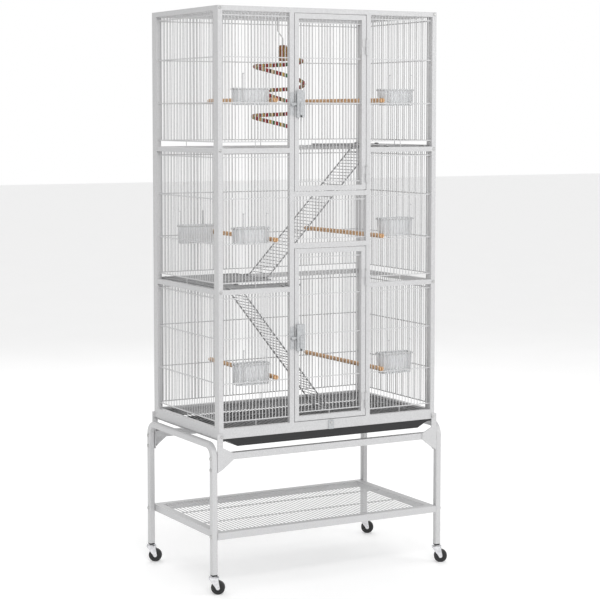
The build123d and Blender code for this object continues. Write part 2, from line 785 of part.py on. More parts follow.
def wire_shelf(rail_z, x0, x1, notch_x, notch_y, peg_places):
    """A shelf between two X places, with a notch that is open at the edge nearer to the middle."""
    z = rail_z + tube / 2 + seat + shelf_rim / 2
    depth = 2 * (in_d - slack)
    width = x1 - x0
    open_edge = x1 if abs(x1) < abs(x0) else x0
    count = 2 * round((width / shelf_pitch - 2) / 2) + 1
    lift = shelf_rim / 2 - wire_r
    notch_places = [((notch_x + open_edge) / 2, sum(notch_y) / 2)]
    notch_size = (abs(open_edge - notch_x), notch_y[1] - notch_y[0])
    with BuildPart() as shelf:
        with BuildSketch(Plane(origin=((x0 + x1) / 2, shelf_rim / 2 - depth / 2, z + lift), x_dir=(1, 0, 0),
                               z_dir=(0, 1, 0))):
            with GridLocations((width - 2 * shelf_rim) / (count + 1), 1, count, 1):
                Circle(wire_r)
        extrude(amount=depth - shelf_rim)
        with BuildSketch(Plane.XY.offset(z + lift - bar)):
            with Locations(*[((x0 + x1) / 2, side * depth / 6) for side in (-1, 1)]):
                Rectangle(width - shelf_rim, bar)
        extrude(amount=bar, clean=False)
        with BuildSketch(Plane.XY.offset(z)):
            with Locations(*notch_places):
                Rectangle(notch_size[0] + shelf_rim, notch_size[1] + shelf_rim)
        extrude(amount=shelf_rim, both=True, mode=Mode.SUBTRACT, clean=False)
        with BuildSketch(Plane.XY.offset(z)):
            with Locations(((x0 + x1) / 2, 0)):
                Rectangle(width, depth)
            with Locations(*notch_places):
                Rectangle(*notch_size, mode=Mode.SUBTRACT)
            offset(amount=-shelf_rim, kind=Kind.INTERSECTION, mode=Mode.SUBTRACT)
        extrude(amount=shelf_rim / 2, both=True, clean=False)
        for turn in (0, 180):
            with BuildSketch(wall_plane(0, 0, turn).offset(in_d - 2 * slack)):
                with Locations(*[(x if turn == 0 else -x, z) for x in peg_places]):
                    Circle(shelf_rim / 2)
            extrude(amount=tube, clean=False)
    return shelf.part


def shelf_top(rail_z):
    """The height of a shelf's upper side over the rail that carries it."""
    return rail_z + tube / 2 + seat + shelf_rim


middle_rail, upper_rail = rail_heights[1:3]
finish(wire_shelf(middle_rail, slack - in_w, middle_shelf_edge, middle_notch_x, middle_notch_y,
                  (-in_w + peg_inset, middle_shelf_edge - peg_column)), "middle_shelf")
finish(wire_shelf(upper_rail, upper_shelf_edge, in_w - slack, upper_notch_x, upper_notch_y,
                  (in_w - peg_inset, upper_shelf_edge + peg_inset)), "upper_shelf")


# Ladders: two round side rails that hook over a shelf's rim, with rungs between them

def ladder(y0, y1, points, slope):
    """A ladder along a route of X and Z points. The slope is the pair of points between which rungs lie."""
    (x0, z0), (x1, z1) = slope
    length = hypot(x1 - x0, z1 - z0)
    count = int(length / rung_pitch)
    with BuildPart() as ramp:
        for y in (y0 + rail_r, y1 - rail_r):
            with BuildLine() as side:
                FilletPolyline(*[(x, y, z) for x, z in points], radius=ladder_bend)
            with BuildSketch(Plane(origin=side.line @ 0, z_dir=side.line % 0)):
                Circle(rail_r)
            sweep(path=side.line)
        with BuildSketch(Plane.XZ.offset(-y0 - rail_r)):
            for step in range(1, count):
                with Locations((x0 + (x1 - x0) * step / count, z0 + (z1 - z0) * step / count)):
                    Circle(wire_r)
        extrude(amount=-(y1 - y0 - 2 * rail_r), clean=False)
    return ramp.part


rest = seat + rail_r
lower_start = (lower_ramp_foot, grate_bottom + grate_h + rest)
lower_end = (middle_notch_x + ladder_bend, shelf_top(middle_rail) + rest)
lower_hook_x = middle_notch_x - shelf_rim - ladder_bend
finish(ladder(*lower_ramp_y, ((lower_ramp_foot + ladder_foot, lower_start[1]), lower_start, lower_end,
                              (lower_hook_x, lower_end[1]), (lower_hook_x, lower_end[1] - hook_drop)),
              (lower_start, lower_end)), "lower_ramp")
upper_start = (middle_shelf_edge + ladder_foot / 2, shelf_top(middle_rail) + rest)
upper_end = (upper_notch_x - ladder_bend, shelf_top(upper_rail) + rest)
upper_hook_x = upper_notch_x + shelf_rim + ladder_bend
finish(ladder(*upper_ramp_y, ((middle_shelf_edge - ladder_foot, upper_start[1]), upper_start, upper_end,
                              (upper_hook_x, upper_end[1]), (upper_hook_x, upper_end[1] - hook_drop)),
              (upper_start, upper_end)), "upper_ramp")


# Perches: dowels whose slotted ends hold a wire of the front and of the back panel

def near_wire(x0, x1, target):
    """The place of the wire nearest to a target, in a field between two X places, and the wires' pitch."""
    pitch = (x1 - x0) / (wire_count(x1 - x0) + 1)
    return x0 + round((target - x0) / pitch) * pitch, pitch


def perch(front_x, back_x, bar_z):
    """A dowel over two level bars, straddling one wire at each end."""
    z = bar_z + bar / 2 + seat + perch_r
    front = Vector(front_x, -wire_plane, z)
    along = (Vector(back_x, wire_plane, z) - front).normalized()
    length = hypot(back_x - front_x, 2 * wire_plane)
    with BuildPart() as dowel:
        with BuildSketch(Plane(origin=front - along * perch_end, x_dir=(0, 0, 1), z_dir=along)):
            Circle(perch_r)
        extrude(amount=length + 2 * perch_end)
        with BuildSketch(Plane.XY.offset(z - perch_r)):
            for x, side in ((front_x, -1), (back_x, 1)):
                with Locations((x, side * (wire_plane - wire_r - seat + perch_r))):
                    Rectangle(2 * (wire_r + slack / 2), 2 * perch_r)
        extrude(amount=2 * perch_r, mode=Mode.SUBTRACT)
    return dowel.part


field_edge = column_w / 2
for name, side, back_target in (("left", -1, -perch_back_left), ("right", 1, perch_back_right)):
    front_wire = side * near_wire(field_edge, in_w, perch_x)[0]
    back_wire = near_wire(-in_w, in_w, back_target)[0]
    for level, height in zip(("low", "middle", "high"), third_heights):
        finish(perch(front_wire, back_wire, height), f"perch_{name}_{level}")


# Feeder cups: tapered troughs, each hung by its rim in a wire ring with two hooked uprights

wall_reach = bar / 2 + seat + ring_r
cup_reach = wall_reach + ring_r + seat + cup_rim


def cup_base(plane, x, z):
    """The plane of a cup's underside, with local Y leading into the cage."""
    return Plane(origin=plane.from_local_coords((x, z, -cup_reach - cup_d / 2)), x_dir=plane.x_dir,
                 z_dir=plane.y_dir)


def feeder_cup(base, height):
    """A thin-walled trough with a rim. It narrows downwards."""
    with BuildPart() as cup:
        with BuildSketch(base):
            RectangleRounded(cup_w - 2 * cup_taper, cup_d - 2 * cup_taper, cup_corner)
        with BuildSketch(base.offset(height)):
            RectangleRounded(cup_w, cup_d, cup_corner)
        loft()
        with BuildSketch(base.offset(height - cup_lip)):
            RectangleRounded(cup_w + 2 * cup_rim, cup_d + 2 * cup_rim, cup_corner + cup_rim)
        extrude(amount=cup_lip)
        with BuildSketch(base.offset(cup_wall)):
            RectangleRounded(cup_w - 2 * cup_taper - 2 * cup_wall, cup_d - 2 * cup_taper - 2 * cup_wall,
                             cup_corner - cup_wall)
        with BuildSketch(base.offset(height)):
            RectangleRounded(cup_w - 2 * cup_wall, cup_d - 2 * cup_wall, cup_corner - cup_wall)
        loft(mode=Mode.SUBTRACT)
    return cup.part


def cup_ring(plane, x, z, height, bar_z, offsets):
    """The wire ring under a cup's rim, its two uprights and the pegs that lie on a level bar."""
    base = cup_base(plane, x, z)
    gap = seat + ring_r
    peg_z = bar_z + bar / 2 + gap
    outer = gap + ring_r
    with BuildPart() as ring:
        with BuildSketch(base.offset(height - cup_lip - gap)):
            RectangleRounded(cup_w + 2 * outer, cup_d + 2 * outer, cup_corner + outer)
            RectangleRounded(cup_w + 2 * seat, cup_d + 2 * seat, cup_corner + seat, mode=Mode.SUBTRACT)
        extrude(amount=ring_r, both=True)
        foot = Plane(origin=plane.from_local_coords((x, peg_z - ring_r, -wall_reach)), x_dir=plane.x_dir,
                     z_dir=plane.y_dir)
        with BuildSketch(foot):
            with Locations(*[(shift, 0) for shift in offsets]):
                Circle(ring_r)
        extrude(amount=z + height + hook_rise - peg_z)
        with BuildSketch(plane.offset(-wall_reach)):
            with Locations(*[(x + shift, level) for shift in offsets
                             for level in (peg_z, z + height + hook_rise - 2 * ring_r)]):
                Circle(wire_r)
        extrude(amount=wall_reach + 2 * ring_r)
    return ring.part


front_rings = []
cup_x, cup_pitch = near_wire(field_edge, in_w, cup_centre)
for name, side, level, drop, height in cup_places:
    bar_z = third_heights[level]
    finish(feeder_cup(cup_base(front_plane, side * cup_x, bar_z - drop), height), f"cup_{name}")
    front_rings.append(cup_ring(front_plane, side * cup_x, bar_z - drop, height, bar_z,
                                (-ring_span * cup_pitch, ring_span * cup_pitch)))
with BuildPart() as cup_rings:
    for ring in front_rings:
        add(ring)
finish(cup_rings.part, "cup_rings")
back_x, back_pitch = near_wire(-in_w, in_w, back_cup_centre)
back_bottom = third_heights[1] - back_cup_drop
finish(feeder_cup(cup_base(back_plane, -back_x, back_bottom), back_cup_h), "cup_back")
finish(cup_ring(back_plane, -back_x, back_bottom, back_cup_h, third_heights[1],
                (-ring_span * back_pitch, ring_span * back_pitch)), "cup_back_ring")


# Rope perch: a spiral that comes out of a wrapped head and ends in a tassel

def turn_radius(angle):
    """The spiral's radius, easing from one half turn's value to the next."""
    half = min(int(angle / pi), len(turn_radii) - 2)
    share = (1 - cos(angle - half * pi)) / 2
    return turn_radii[half] * (1 - share) + turn_radii[half + 1] * share


def spiral_point(angle):
    """A point of the rope's middle line, at an angle from the spiral's right side."""
    radius = turn_radius(angle)
    return Vector(spiral_x + radius * cos(angle), radius * sin(angle),
                  spiral_top - spiral_drop * angle / (2 * pi) + spiral_wave * (1 - cos(angle)))


def spiral_direction(angle):
    """The direction of the rope at an angle."""
    return (spiral_point(angle + 0.001) - spiral_point(angle - 0.001)).normalized()


def biarc_joint(p0, t0, p1, t1):
    """The point and the direction where the two arcs between two directed points meet."""
    chord = p1 - p0
    both = t0 + t1
    short = 4 - both.dot(both)
    reach = (sqrt(chord.dot(both) ** 2 + short * chord.dot(chord)) - chord.dot(both)) / short
    start = p0 + t0 * reach
    stop = p1 - t1 * reach
    return (start + stop) / 2, (stop - start).normalized()


exit_dir = Vector(cos(radians(exit_angle)), sin(radians(exit_angle)), 0)
exit_point = Vector(head_x, 0, exit_z) + exit_dir * exit_reach
end_angle = 2 * pi * spiral_turns
end_point = Vector(rope_end_x, spiral_point(end_angle).Y, rope_end_z)
straight = 2 * rope_r
knots = [(exit_point + exit_dir * straight, exit_dir)]
for step in range(spiral_steps + 1):
    angle = end_angle * step / spiral_steps
    knots.append((spiral_point(angle), spiral_direction(angle)))
knots.append((end_point + Vector(0, 0, straight), Vector(0, 0, -1)))
bends = []
with BuildLine() as rope_route:
    Line(exit_point, knots[0][0])
    for (p0, t0), (p1, t1) in zip(knots, knots[1:]):
        joint, joint_dir = biarc_joint(p0, t0, p1, t1)
        TangentArc(p0, joint, tangent=t0)
        TangentArc(joint, p1, tangent=joint_dir)
        for chord, tangent in ((joint - p0, t0), (p1 - joint, joint_dir)):
            bends.append(chord.dot(chord) / (2 * tangent.cross(chord).length))
    Line(knots[-1][0], end_point)
with BuildPart() as rope_perch:
    with BuildSketch(Plane(origin=exit_point, z_dir=exit_dir)):
        Circle(rope_r)
    sweep(path=rope_route.line)
finish(rope_perch.part, "rope_perch")

rope_wire = rope_route.wire()
rope_length = rope_wire.length
samples = int(rope_length / rope_r)
skipped = 8
middle_line = [rope_wire @ (step / samples) for step in range(samples + 1)]
distances = [(a - b).length for i, a in enumerate(middle_line) for b in middle_line[i + skipped:]]
fill = rope_perch.part.volume / (pi * rope_r ** 2 * rope_length)
print(f"rope: length {rope_length:.0f}, bends {min(bends):.0f} to {max(bends):.0f}")
print(f"least gap {min(distances) - 2 * rope_r:.1f}, volume over section times length {fill:.4f}")

with BuildPart() as rope_head:
    with BuildSketch(Plane.XZ):
        with Locations((head_x + head_r / 2, sum(head_z) / 2)):
            Rectangle(head_r, head_z[1] - head_z[0])
    revolve(axis=Axis((head_x, 0, 0), (0, 0, 1)))
    fillet(rope_head.edges().filter_by(GeomType.CIRCLE), head_r / 3)
    with BuildSketch(Plane(origin=(head_x, 0, exit_z), z_dir=exit_dir)):
        Circle(rope_r + collar_h)
    extrude(amount=exit_reach)
finish(rope_head.part, "rope_head")

with BuildPart() as rope_end:
    with BuildSketch(Plane(origin=end_point, z_dir=(0, 0, -1))):
        Circle(rope_r + slack)
    extrude(amount=end_cap)
    with BuildSketch(Plane(origin=end_point - Vector(0, 0, end_cap), z_dir=(0, 0, -1))):
        Circle(rope_r)
    with BuildSketch(Plane(origin=end_point - Vector(0, 0, end_cap + tassel), z_dir=(0, 0, -1))):
        Circle(rope_r + 2 * slack)
    loft()
finish(rope_end.part, "rope_end")

# The hook over a wire of the top panel, with its lower end on the wrapped head

top_inner = top_w - 2 * tube
top_step = top_inner / (2 * round((top_w / wire_pitch - 2) / 2) + 2)
over_x = round(spiral_x / top_step) * top_step
over_r = wire_r + seat + hook_wire_r
over_z = cage_top - tube / 2
with BuildPart() as rope_hook:
    with BuildLine() as bend:
        FilletPolyline((over_x + over_r, 0, over_z - 3 * over_r), (over_x + over_r, 0, over_z + over_r),
                       (over_x - over_r, 0, over_z + over_r), (over_x - over_r, 0, jog_z[0]),
                       (head_x, 0, jog_z[1]), (head_x, 0, head_z[1]),
                       radius=[over_r - running, over_r - running, over_r, over_r])
    with BuildSketch(Plane(origin=bend.line @ 0, z_dir=bend.line % 0)):
        Circle(hook_wire_r)
    sweep(path=bend.line)
finish(rope_hook.part, "rope_hook")
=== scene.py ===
# %% [markdown]
# # Rolling bird cage
# The imported cage is loaded as a fixed frame, and every piece of it gets a procedural surface. The soft pieces
# (the rope perch, its wrapped head and its tassel) are modelled here and stand for their plain solids.
# First the frame is loaded.

# %% Load the frame
import json
from math import cos, pi, radians, sin

import bpy
import bmesh
from mathutils import Matrix, Vector
from random import Random


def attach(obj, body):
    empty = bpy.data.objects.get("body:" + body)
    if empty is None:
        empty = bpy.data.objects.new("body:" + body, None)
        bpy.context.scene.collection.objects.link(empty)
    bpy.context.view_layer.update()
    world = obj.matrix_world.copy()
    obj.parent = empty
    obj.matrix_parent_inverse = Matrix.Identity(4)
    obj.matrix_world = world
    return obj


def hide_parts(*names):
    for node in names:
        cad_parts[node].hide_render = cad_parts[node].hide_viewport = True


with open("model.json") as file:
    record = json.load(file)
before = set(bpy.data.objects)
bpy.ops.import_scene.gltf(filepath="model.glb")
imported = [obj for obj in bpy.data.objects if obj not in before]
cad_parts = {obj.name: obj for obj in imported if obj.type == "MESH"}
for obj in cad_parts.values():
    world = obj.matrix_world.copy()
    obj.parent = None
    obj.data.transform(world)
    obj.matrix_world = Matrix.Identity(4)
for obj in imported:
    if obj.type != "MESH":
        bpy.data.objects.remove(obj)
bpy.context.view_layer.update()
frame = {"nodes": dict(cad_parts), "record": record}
nodes = frame["nodes"]
slots = {part["node"]: part["material_slot"] for part in frame["record"]["subparts"]}
print(len(nodes), "nodes from the frame")

# %% [markdown]
# ## Shared surface effects
# A node group adds a fine grain to any surface: it takes a place, a scale and a depth, and returns a factor
# that varies over the surface and a bumped normal. The paint, the metal, the wood and the plastic all use it.

# %% Grain group


def grain_group():
    """A node group: noise at a scale, as a factor and as a bumped normal."""
    group = bpy.data.node_groups.new("Surface grain", "ShaderNodeTree")
    face = group.interface
    face.new_socket("Vector", in_out="INPUT", socket_type="NodeSocketVector")
    face.new_socket("Scale", in_out="INPUT", socket_type="NodeSocketFloat").default_value = 300.0
    face.new_socket("Strength", in_out="INPUT", socket_type="NodeSocketFloat").default_value = 0.2
    face.new_socket("Distance", in_out="INPUT", socket_type="NodeSocketFloat").default_value = 0.0005
    face.new_socket("Factor", in_out="OUTPUT", socket_type="NodeSocketFloat")
    face.new_socket("Normal", in_out="OUTPUT", socket_type="NodeSocketVector")
    tree = group.nodes
    link = group.links.new
    start = tree.new("NodeGroupInput")
    end = tree.new("NodeGroupOutput")
    noise = tree.new("ShaderNodeTexNoise")
    noise.inputs["Detail"].default_value = 3.0
    bump = tree.new("ShaderNodeBump")
    link(start.outputs["Vector"], noise.inputs["Vector"])
    link(start.outputs["Scale"], noise.inputs["Scale"])
    link(start.outputs["Strength"], bump.inputs["Strength"])
    link(start.outputs["Distance"], bump.inputs["Distance"])
    link(noise.outputs["Fac"], bump.inputs["Height"])
    link(noise.outputs["Fac"], end.inputs["Factor"])
    link(bump.outputs["Normal"], end.inputs["Normal"])
    return group


grain = grain_group()
print("group", grain.name)

# %% [markdown]
# ## Materials
# Each material blends two near colours by a noise, so that no surface is one flat colour, and varies its
# roughness the same way. A stretch along one axis turns the noise into wood grain. The cups' wire rings have
# the lighter coat of the frames.

# %% Material maker
MIX_A, MIX_B, MIX_RESULT = 6, 7, 2


def surface(name, dark, light, rough, metallic=0.0, scale=300.0, strength=0.2, distance=0.0005,
            stretch=(1, 1, 1), coat=0.0, transmission=0.0):
    """A procedural material between two colours. Rough is the pair of least and greatest roughness."""
    mat = bpy.data.materials.new(name)
    mat.use_nodes = True
    tree = mat.node_tree.nodes
    link = mat.node_tree.links.new
    shader = tree["Principled BSDF"]
    place = tree.new("ShaderNodeTexCoord")
    mapping = tree.new("ShaderNodeMapping")
    mapping.inputs["Scale"].default_value = stretch
    link(place.outputs["Object"], mapping.inputs["Vector"])
    fine = tree.new("ShaderNodeGroup")
    fine.node_tree = grain
    fine.inputs["Scale"].default_value = scale
    fine.inputs["Strength"].default_value = strength
    fine.inputs["Distance"].default_value = distance
    link(mapping.outputs["Vector"], fine.inputs["Vector"])
    colour = tree.new("ShaderNodeMix")
    colour.data_type = "RGBA"
    colour.inputs[MIX_A].default_value = (*dark, 1)
    colour.inputs[MIX_B].default_value = (*light, 1)
    span = tree.new("ShaderNodeMapRange")
    span.inputs["From Min"].default_value = 0.3
    span.inputs["From Max"].default_value = 0.7
    link(fine.outputs["Factor"], span.inputs["Value"])
    link(span.outputs["Result"], colour.inputs[0])
    link(colour.outputs[MIX_RESULT], shader.inputs["Base Color"])
    roughness = tree.new("ShaderNodeMapRange")
    roughness.inputs["To Min"].default_value = rough[0]
    roughness.inputs["To Max"].default_value = rough[1]
    link(fine.outputs["Factor"], roughness.inputs["Value"])
    link(roughness.outputs["Result"], shader.inputs["Roughness"])
    link(fine.outputs["Normal"], shader.inputs["Normal"])
    shader.inputs["Metallic"].default_value = metallic
    shader.inputs["Coat Weight"].default_value = coat
    shader.inputs["Coat Roughness"].default_value = 0.15
    shader.inputs["Transmission Weight"].default_value = transmission
    return mat


made = {
    "coated_frame": surface(
        "Hammered grey coat", (0.47, 0.47, 0.475), (0.58, 0.58, 0.585), (0.30, 0.44), 0.1, 420.0,
        0.12, 0.0003, coat=0.2),
    "coated_wire": surface(
        "Grey wire coat", (0.22, 0.22, 0.225), (0.32, 0.32, 0.325), (0.32, 0.48), 0.15, 300.0,
        0.15, 0.0003, coat=0.2),
    "caster_chrome": surface(
        "Caster plating", (0.62, 0.62, 0.64), (0.80, 0.80, 0.82), (0.08, 0.2), 1.0, 90.0, 0.05,
        0.0003),
    "wheel_black": surface(
        "Wheel nylon", (0.010, 0.010, 0.011), (0.022, 0.022, 0.023), (0.38, 0.55), 0.0, 500.0,
        0.1, 0.0002),
    "perch_wood": surface(
        "Perch wood", (0.42, 0.22, 0.10), (0.66, 0.42, 0.22), (0.5, 0.65), 0.0, 60.0, 0.25,
        0.0004, (6, 0.5, 6)),
    "cup_plastic": surface(
        "Frosted cup plastic", (0.86, 0.87, 0.88), (0.92, 0.93, 0.94), (0.28, 0.4), 0.0, 120.0,
        0.05, 0.0002, transmission=0.45),
    "plug_black": surface(
        "Plug plastic", (0.012, 0.012, 0.013), (0.03, 0.03, 0.032), (0.4, 0.55), 0.0, 400.0, 0.1,
        0.0002),
    "tray_black": surface(
        "Black tray coat", (0.006, 0.006, 0.007), (0.014, 0.014, 0.015), (0.42, 0.55), 0.0,
        320.0, 0.2, 0.0004),
    "zinc": surface(
        "Zinc plating", (0.42, 0.42, 0.42), (0.60, 0.60, 0.59), (0.25, 0.4), 0.9, 240.0, 0.1,
        0.0002),
    "latch_metal": surface(
        "Latch coat", (0.36, 0.37, 0.38), (0.50, 0.51, 0.52), (0.3, 0.42), 0.25, 200.0, 0.12,
        0.0003, coat=0.2),
}
# Painted shade: a near-black material that stands for the shadow inside the latch slots.
painted_slot_shade = surface("Painted slot shade", (0.02, 0.02, 0.02), (0.05, 0.05, 0.05), (0.5, 0.7))
tan_cord = surface("Tan cord", (0.36, 0.24, 0.13), (0.60, 0.44, 0.27), (0.75, 0.9), 0.0, 700.0, 0.5, 0.0008,
                   (1, 1, 4))
for name, node in nodes.items():
    if slots[name] in made:
        node.data.materials.clear()
        node.data.materials.append(made["coated_frame" if "ring" in name else slots[name]])
print(len(made), "materials on", sum(slots[name] in made for name in nodes), "nodes")

# %% [markdown]
# ## The rope's colours
# The rope has short bands of different colours. The shader works out how far round the spiral a point lies
# from its angle about the spiral's middle and its height, and picks the band's colour from a ramp. The same
# bands run down the wrapped head as stripes.

# %% Rope material
SPIRAL_X, SPIRAL_TOP, SPIRAL_DROP, SPIRAL_WAVE = -0.052, 1.596, 0.078, 0.0095
BANDS_PER_RADIAN = 2.4


def rope_material():
    """Bands of colour along the spiral, darkened and bumped by the fibres' grain."""
    mat = bpy.data.materials.new("Banded rope")
    mat.use_nodes = True
    tree = mat.node_tree.nodes
    link = mat.node_tree.links.new
    shader = tree["Principled BSDF"]
    place = tree.new("ShaderNodeTexCoord")
    split = tree.new("ShaderNodeSeparateXYZ")
    link(place.outputs["Object"], split.inputs["Vector"])

    def calc(operation, first, second=None):
        """One math node. Numbers are set on the socket, and sockets are linked."""
        node = tree.new("ShaderNodeMath")
        node.operation = operation
        for index, value in enumerate((first, second)):
            if value is None:
                continue
            if isinstance(value, (int, float)):
                node.inputs[index].default_value = value
            else:
                link(value, node.inputs[index])
        return node.outputs["Value"]

    angle = calc("ARCTAN2", split.outputs["Y"], calc("SUBTRACT", split.outputs["X"], SPIRAL_X))
    wave = calc("MULTIPLY", calc("SUBTRACT", 1.0, calc("COSINE", angle)), SPIRAL_WAVE)
    fall = calc("SUBTRACT", calc("ADD", wave, SPIRAL_TOP), split.outputs["Z"])
    total = calc("MULTIPLY", fall, 2 * pi / SPIRAL_DROP)
    turns = calc("ROUND", calc("DIVIDE", calc("SUBTRACT", total, angle), 2 * pi))
    along = calc("ADD", calc("MULTIPLY", turns, 2 * pi), angle)
    band = calc("FRACT", calc("MULTIPLY", along, BANDS_PER_RADIAN))
    ramp = tree.new("ShaderNodeValToRGB")
    ramp.color_ramp.interpolation = "CONSTANT"
    bands = ((0.0, (0.45, 0.03, 0.03)), (0.22, (0.015, 0.015, 0.02)), (0.36, (0.72, 0.46, 0.05)),
             (0.52, (0.50, 0.34, 0.19)), (0.68, (0.05, 0.22, 0.08)), (0.84, (0.42, 0.03, 0.03)))
    while len(ramp.color_ramp.elements) < len(bands):
        ramp.color_ramp.elements.new(0.5)
    for element, (position, colour) in zip(ramp.color_ramp.elements, bands):
        element.position = position
        element.color = (*colour, 1)
    link(band, ramp.inputs["Fac"])
    fibre = tree.new("ShaderNodeGroup")
    fibre.node_tree = grain
    fibre.inputs["Scale"].default_value = 900.0
    fibre.inputs["Strength"].default_value = 0.6
    fibre.inputs["Distance"].default_value = 0.0008
    link(place.outputs["Object"], fibre.inputs["Vector"])
    lighter = tree.new("ShaderNodeMix")
    lighter.data_type = "RGBA"
    lighter.blend_type = "MULTIPLY"
    lighter.inputs[0].default_value = 0.6
    link(ramp.outputs["Color"], lighter.inputs[MIX_A])
    link(fibre.outputs["Factor"], lighter.inputs[MIX_B])
    link(lighter.outputs[MIX_RESULT], shader.inputs["Base Color"])
    link(fibre.outputs["Normal"], shader.inputs["Normal"])
    shader.inputs["Roughness"].default_value = 0.85
    shader.inputs["Sheen Weight"].default_value = 0.3
    return mat


rope_mat = rope_material()
print("rope bands made")

# %% [markdown]
# ## The rope perch
# The rope follows the same formula as its solid: a falling spiral whose radius changes from one half turn to
# the next. Its section is three strands, which the tilt of the points twists along its length.

# %% Rope
ROPE_R = 0.0065
TURN_RADII = (0.077, 0.077, 0.077, 0.060, 0.077, 0.084, 0.065)
END_ANGLE = 2 * pi * 2.71
HEAD = Vector((-0.039, 0.0, 1.606))
EXIT_DIR = Vector((cos(radians(-60)), sin(radians(-60)), 0))
END_X, END_Z = -0.037, 1.358
LAY_PER_POINT = 2.3


def turn_radius(angle):
    """The spiral's radius, easing from one half turn's value to the next."""
    half = min(int(angle / pi), len(TURN_RADII) - 2)
    share = (1 - cos(angle - half * pi)) / 2
    return TURN_RADII[half] * (1 - share) + TURN_RADII[half + 1] * share


def spiral_point(angle):
    """A point of the rope's middle line, at an angle from the spiral's right side."""
    radius = turn_radius(angle)
    return Vector((SPIRAL_X + radius * cos(angle), radius * sin(angle),
                   SPIRAL_TOP - SPIRAL_DROP * angle / (2 * pi) + SPIRAL_WAVE * (1 - cos(angle))))


def spiral_direction(angle):
    """The direction of the rope at an angle."""
    return (spiral_point(angle + 0.001) - spiral_point(angle - 0.001)).normalized()


def eased(p0, t0, p1, t1, steps):
    """Points between two directed points, without the first, on a cubic curve."""
    reach = (p1 - p0).length * 0.36
    b, c = p0 + t0 * reach, p1 - t1 * reach
    out = []
    for step in range(1, steps + 1):
        t = step / steps
        u = 1 - t
        out.append(p0 * u ** 3 + b * 3 * u * u * t + c * 3 * u * t * t + p1 * t ** 3)
    return out


down = Vector((0, 0, -1))
exit_point = HEAD + EXIT_DIR * 0.020
rope_end = Vector((END_X, spiral_point(END_ANGLE).y, END_Z))
straight_end = exit_point + EXIT_DIR * 2 * ROPE_R
line = [exit_point, (exit_point + straight_end) / 2, straight_end]
line += eased(straight_end, EXIT_DIR, spiral_point(0), spiral_direction(0), 8)
turn_points = 64
line += [spiral_point(END_ANGLE * step / turn_points) for step in range(1, turn_points + 1)]
above_end = rope_end - down * 2 * ROPE_R
line += eased(spiral_point(END_ANGLE), spiral_direction(END_ANGLE), above_end, down, 8)
line += [(above_end + rope_end) / 2, rope_end]

section = bpy.data.curves.new("Rope section", "CURVE")
section.dimensions = "2D"
loop = section.splines.new("POLY")
section_points = 36
loop.points.add(section_points - 1)
for index, point in enumerate(loop.points):
    turn = 2 * pi * index / section_points
    radius = ROPE_R * (0.80 + 0.20 * abs(cos(1.5 * turn)) ** 0.5)
    point.co = (radius * cos(turn), radius * sin(turn), 0, 1)
loop.use_cyclic_u = True
section_object = bpy.data.objects.new("rope_section", section)
bpy.context.scene.collection.objects.link(section_object)
section_object.hide_render = True
section_object.hide_viewport = True

rope_curve = bpy.data.curves.new("Rope", "CURVE")
rope_curve.dimensions = "3D"
rope_curve.twist_mode = "MINIMUM"
rope_curve.bevel_mode = "OBJECT"
rope_curve.bevel_object = section_object
rope_curve.use_fill_caps = True
rope_curve.resolution_u = 6
rope_curve.render_resolution_u = 6
spline = rope_curve.splines.new("NURBS")
spline.points.add(len(line) - 1)
for index, (point, place) in enumerate(zip(spline.points, line)):
    point.co = (*place, 1)
    point.tilt = LAY_PER_POINT * index
spline.order_u = 3
spline.use_endpoint_u = True
rope = bpy.data.objects.new("rope", rope_curve)
bpy.context.scene.collection.objects.link(rope)
rope_curve.materials.append(rope_mat)
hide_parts("rope_perch")
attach(rope, "root")
measured = sum((b - a).length for a, b in zip(line, line[1:]))
print(f"rope of {measured:.3f} m with {len(line)} points")

# %% [markdown]
# ## The wrapped head and the tassel
# The head is a bundle wrapped in cord, so its side is a row of round ridges. The rope's free end has a tan
# wrapping and a tassel of loose strands.

# %% Head, wrapping and tassel


def mesh_piece(name, bm, mats, body="root"):
    """A mesh object at the origin from a bmesh, smooth shaded, riding on a body."""
    mesh = bpy.data.meshes.new(name)
    bm.to_mesh(mesh)
    bm.free()
    for polygon in mesh.polygons:
        polygon.use_smooth = True
    for mat in mats:
        mesh.materials.append(mat)
    piece = bpy.data.objects.new(name, mesh)
    bpy.context.scene.collection.objects.link(piece)
    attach(piece, body)
    return piece


def turned(bm, centre, profile, segments, wobble=0.0):
    """A closed turned form about an upright axis, from (radius, height) pairs. It may wobble a little."""
    rings = []
    for radius, z in profile:
        ring = []
        for index in range(segments):
            turn = 2 * pi * index / segments
            r = radius * (1 + wobble * sin(3 * turn + 40 * z))
            ring.append(bm.verts.new((centre[0] + r * cos(turn), centre[1] + r * sin(turn), z)))
        rings.append(ring)
    for low, high in zip(rings, rings[1:]):
        for index in range(segments):
            after = (index + 1) % segments
            bm.faces.new((low[index], low[after], high[after], high[index]))
    bm.faces.new(list(reversed(rings[0])))
    bm.faces.new(rings[-1])


HEAD_R, HEAD_LOW, HEAD_HIGH, WRAPS = 0.016, 1.597, 1.648, 11
HEAD_END, RIDGE = 0.001, 0.0016
profile = [(0.004, HEAD_LOW)]
for wrap in range(WRAPS):
    low = HEAD_LOW + HEAD_END + (HEAD_HIGH - HEAD_LOW - 2 * HEAD_END) * wrap / WRAPS
    step = (HEAD_HIGH - HEAD_LOW - 2 * HEAD_END) / WRAPS
    shoulder = HEAD_R * (0.78 if wrap in (0, WRAPS - 1) else 1.0)
    for share in (0.05, 0.25, 0.5, 0.75, 0.95):
        profile.append((shoulder - RIDGE + RIDGE * sin(pi * share), low + step * share))
profile.append((0.004, HEAD_HIGH))
bm = bmesh.new()
turned(bm, (HEAD.x, HEAD.y), profile, 32, 0.01)
head = mesh_piece("wrapped_head", bm, [rope_mat])
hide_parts("rope_head")

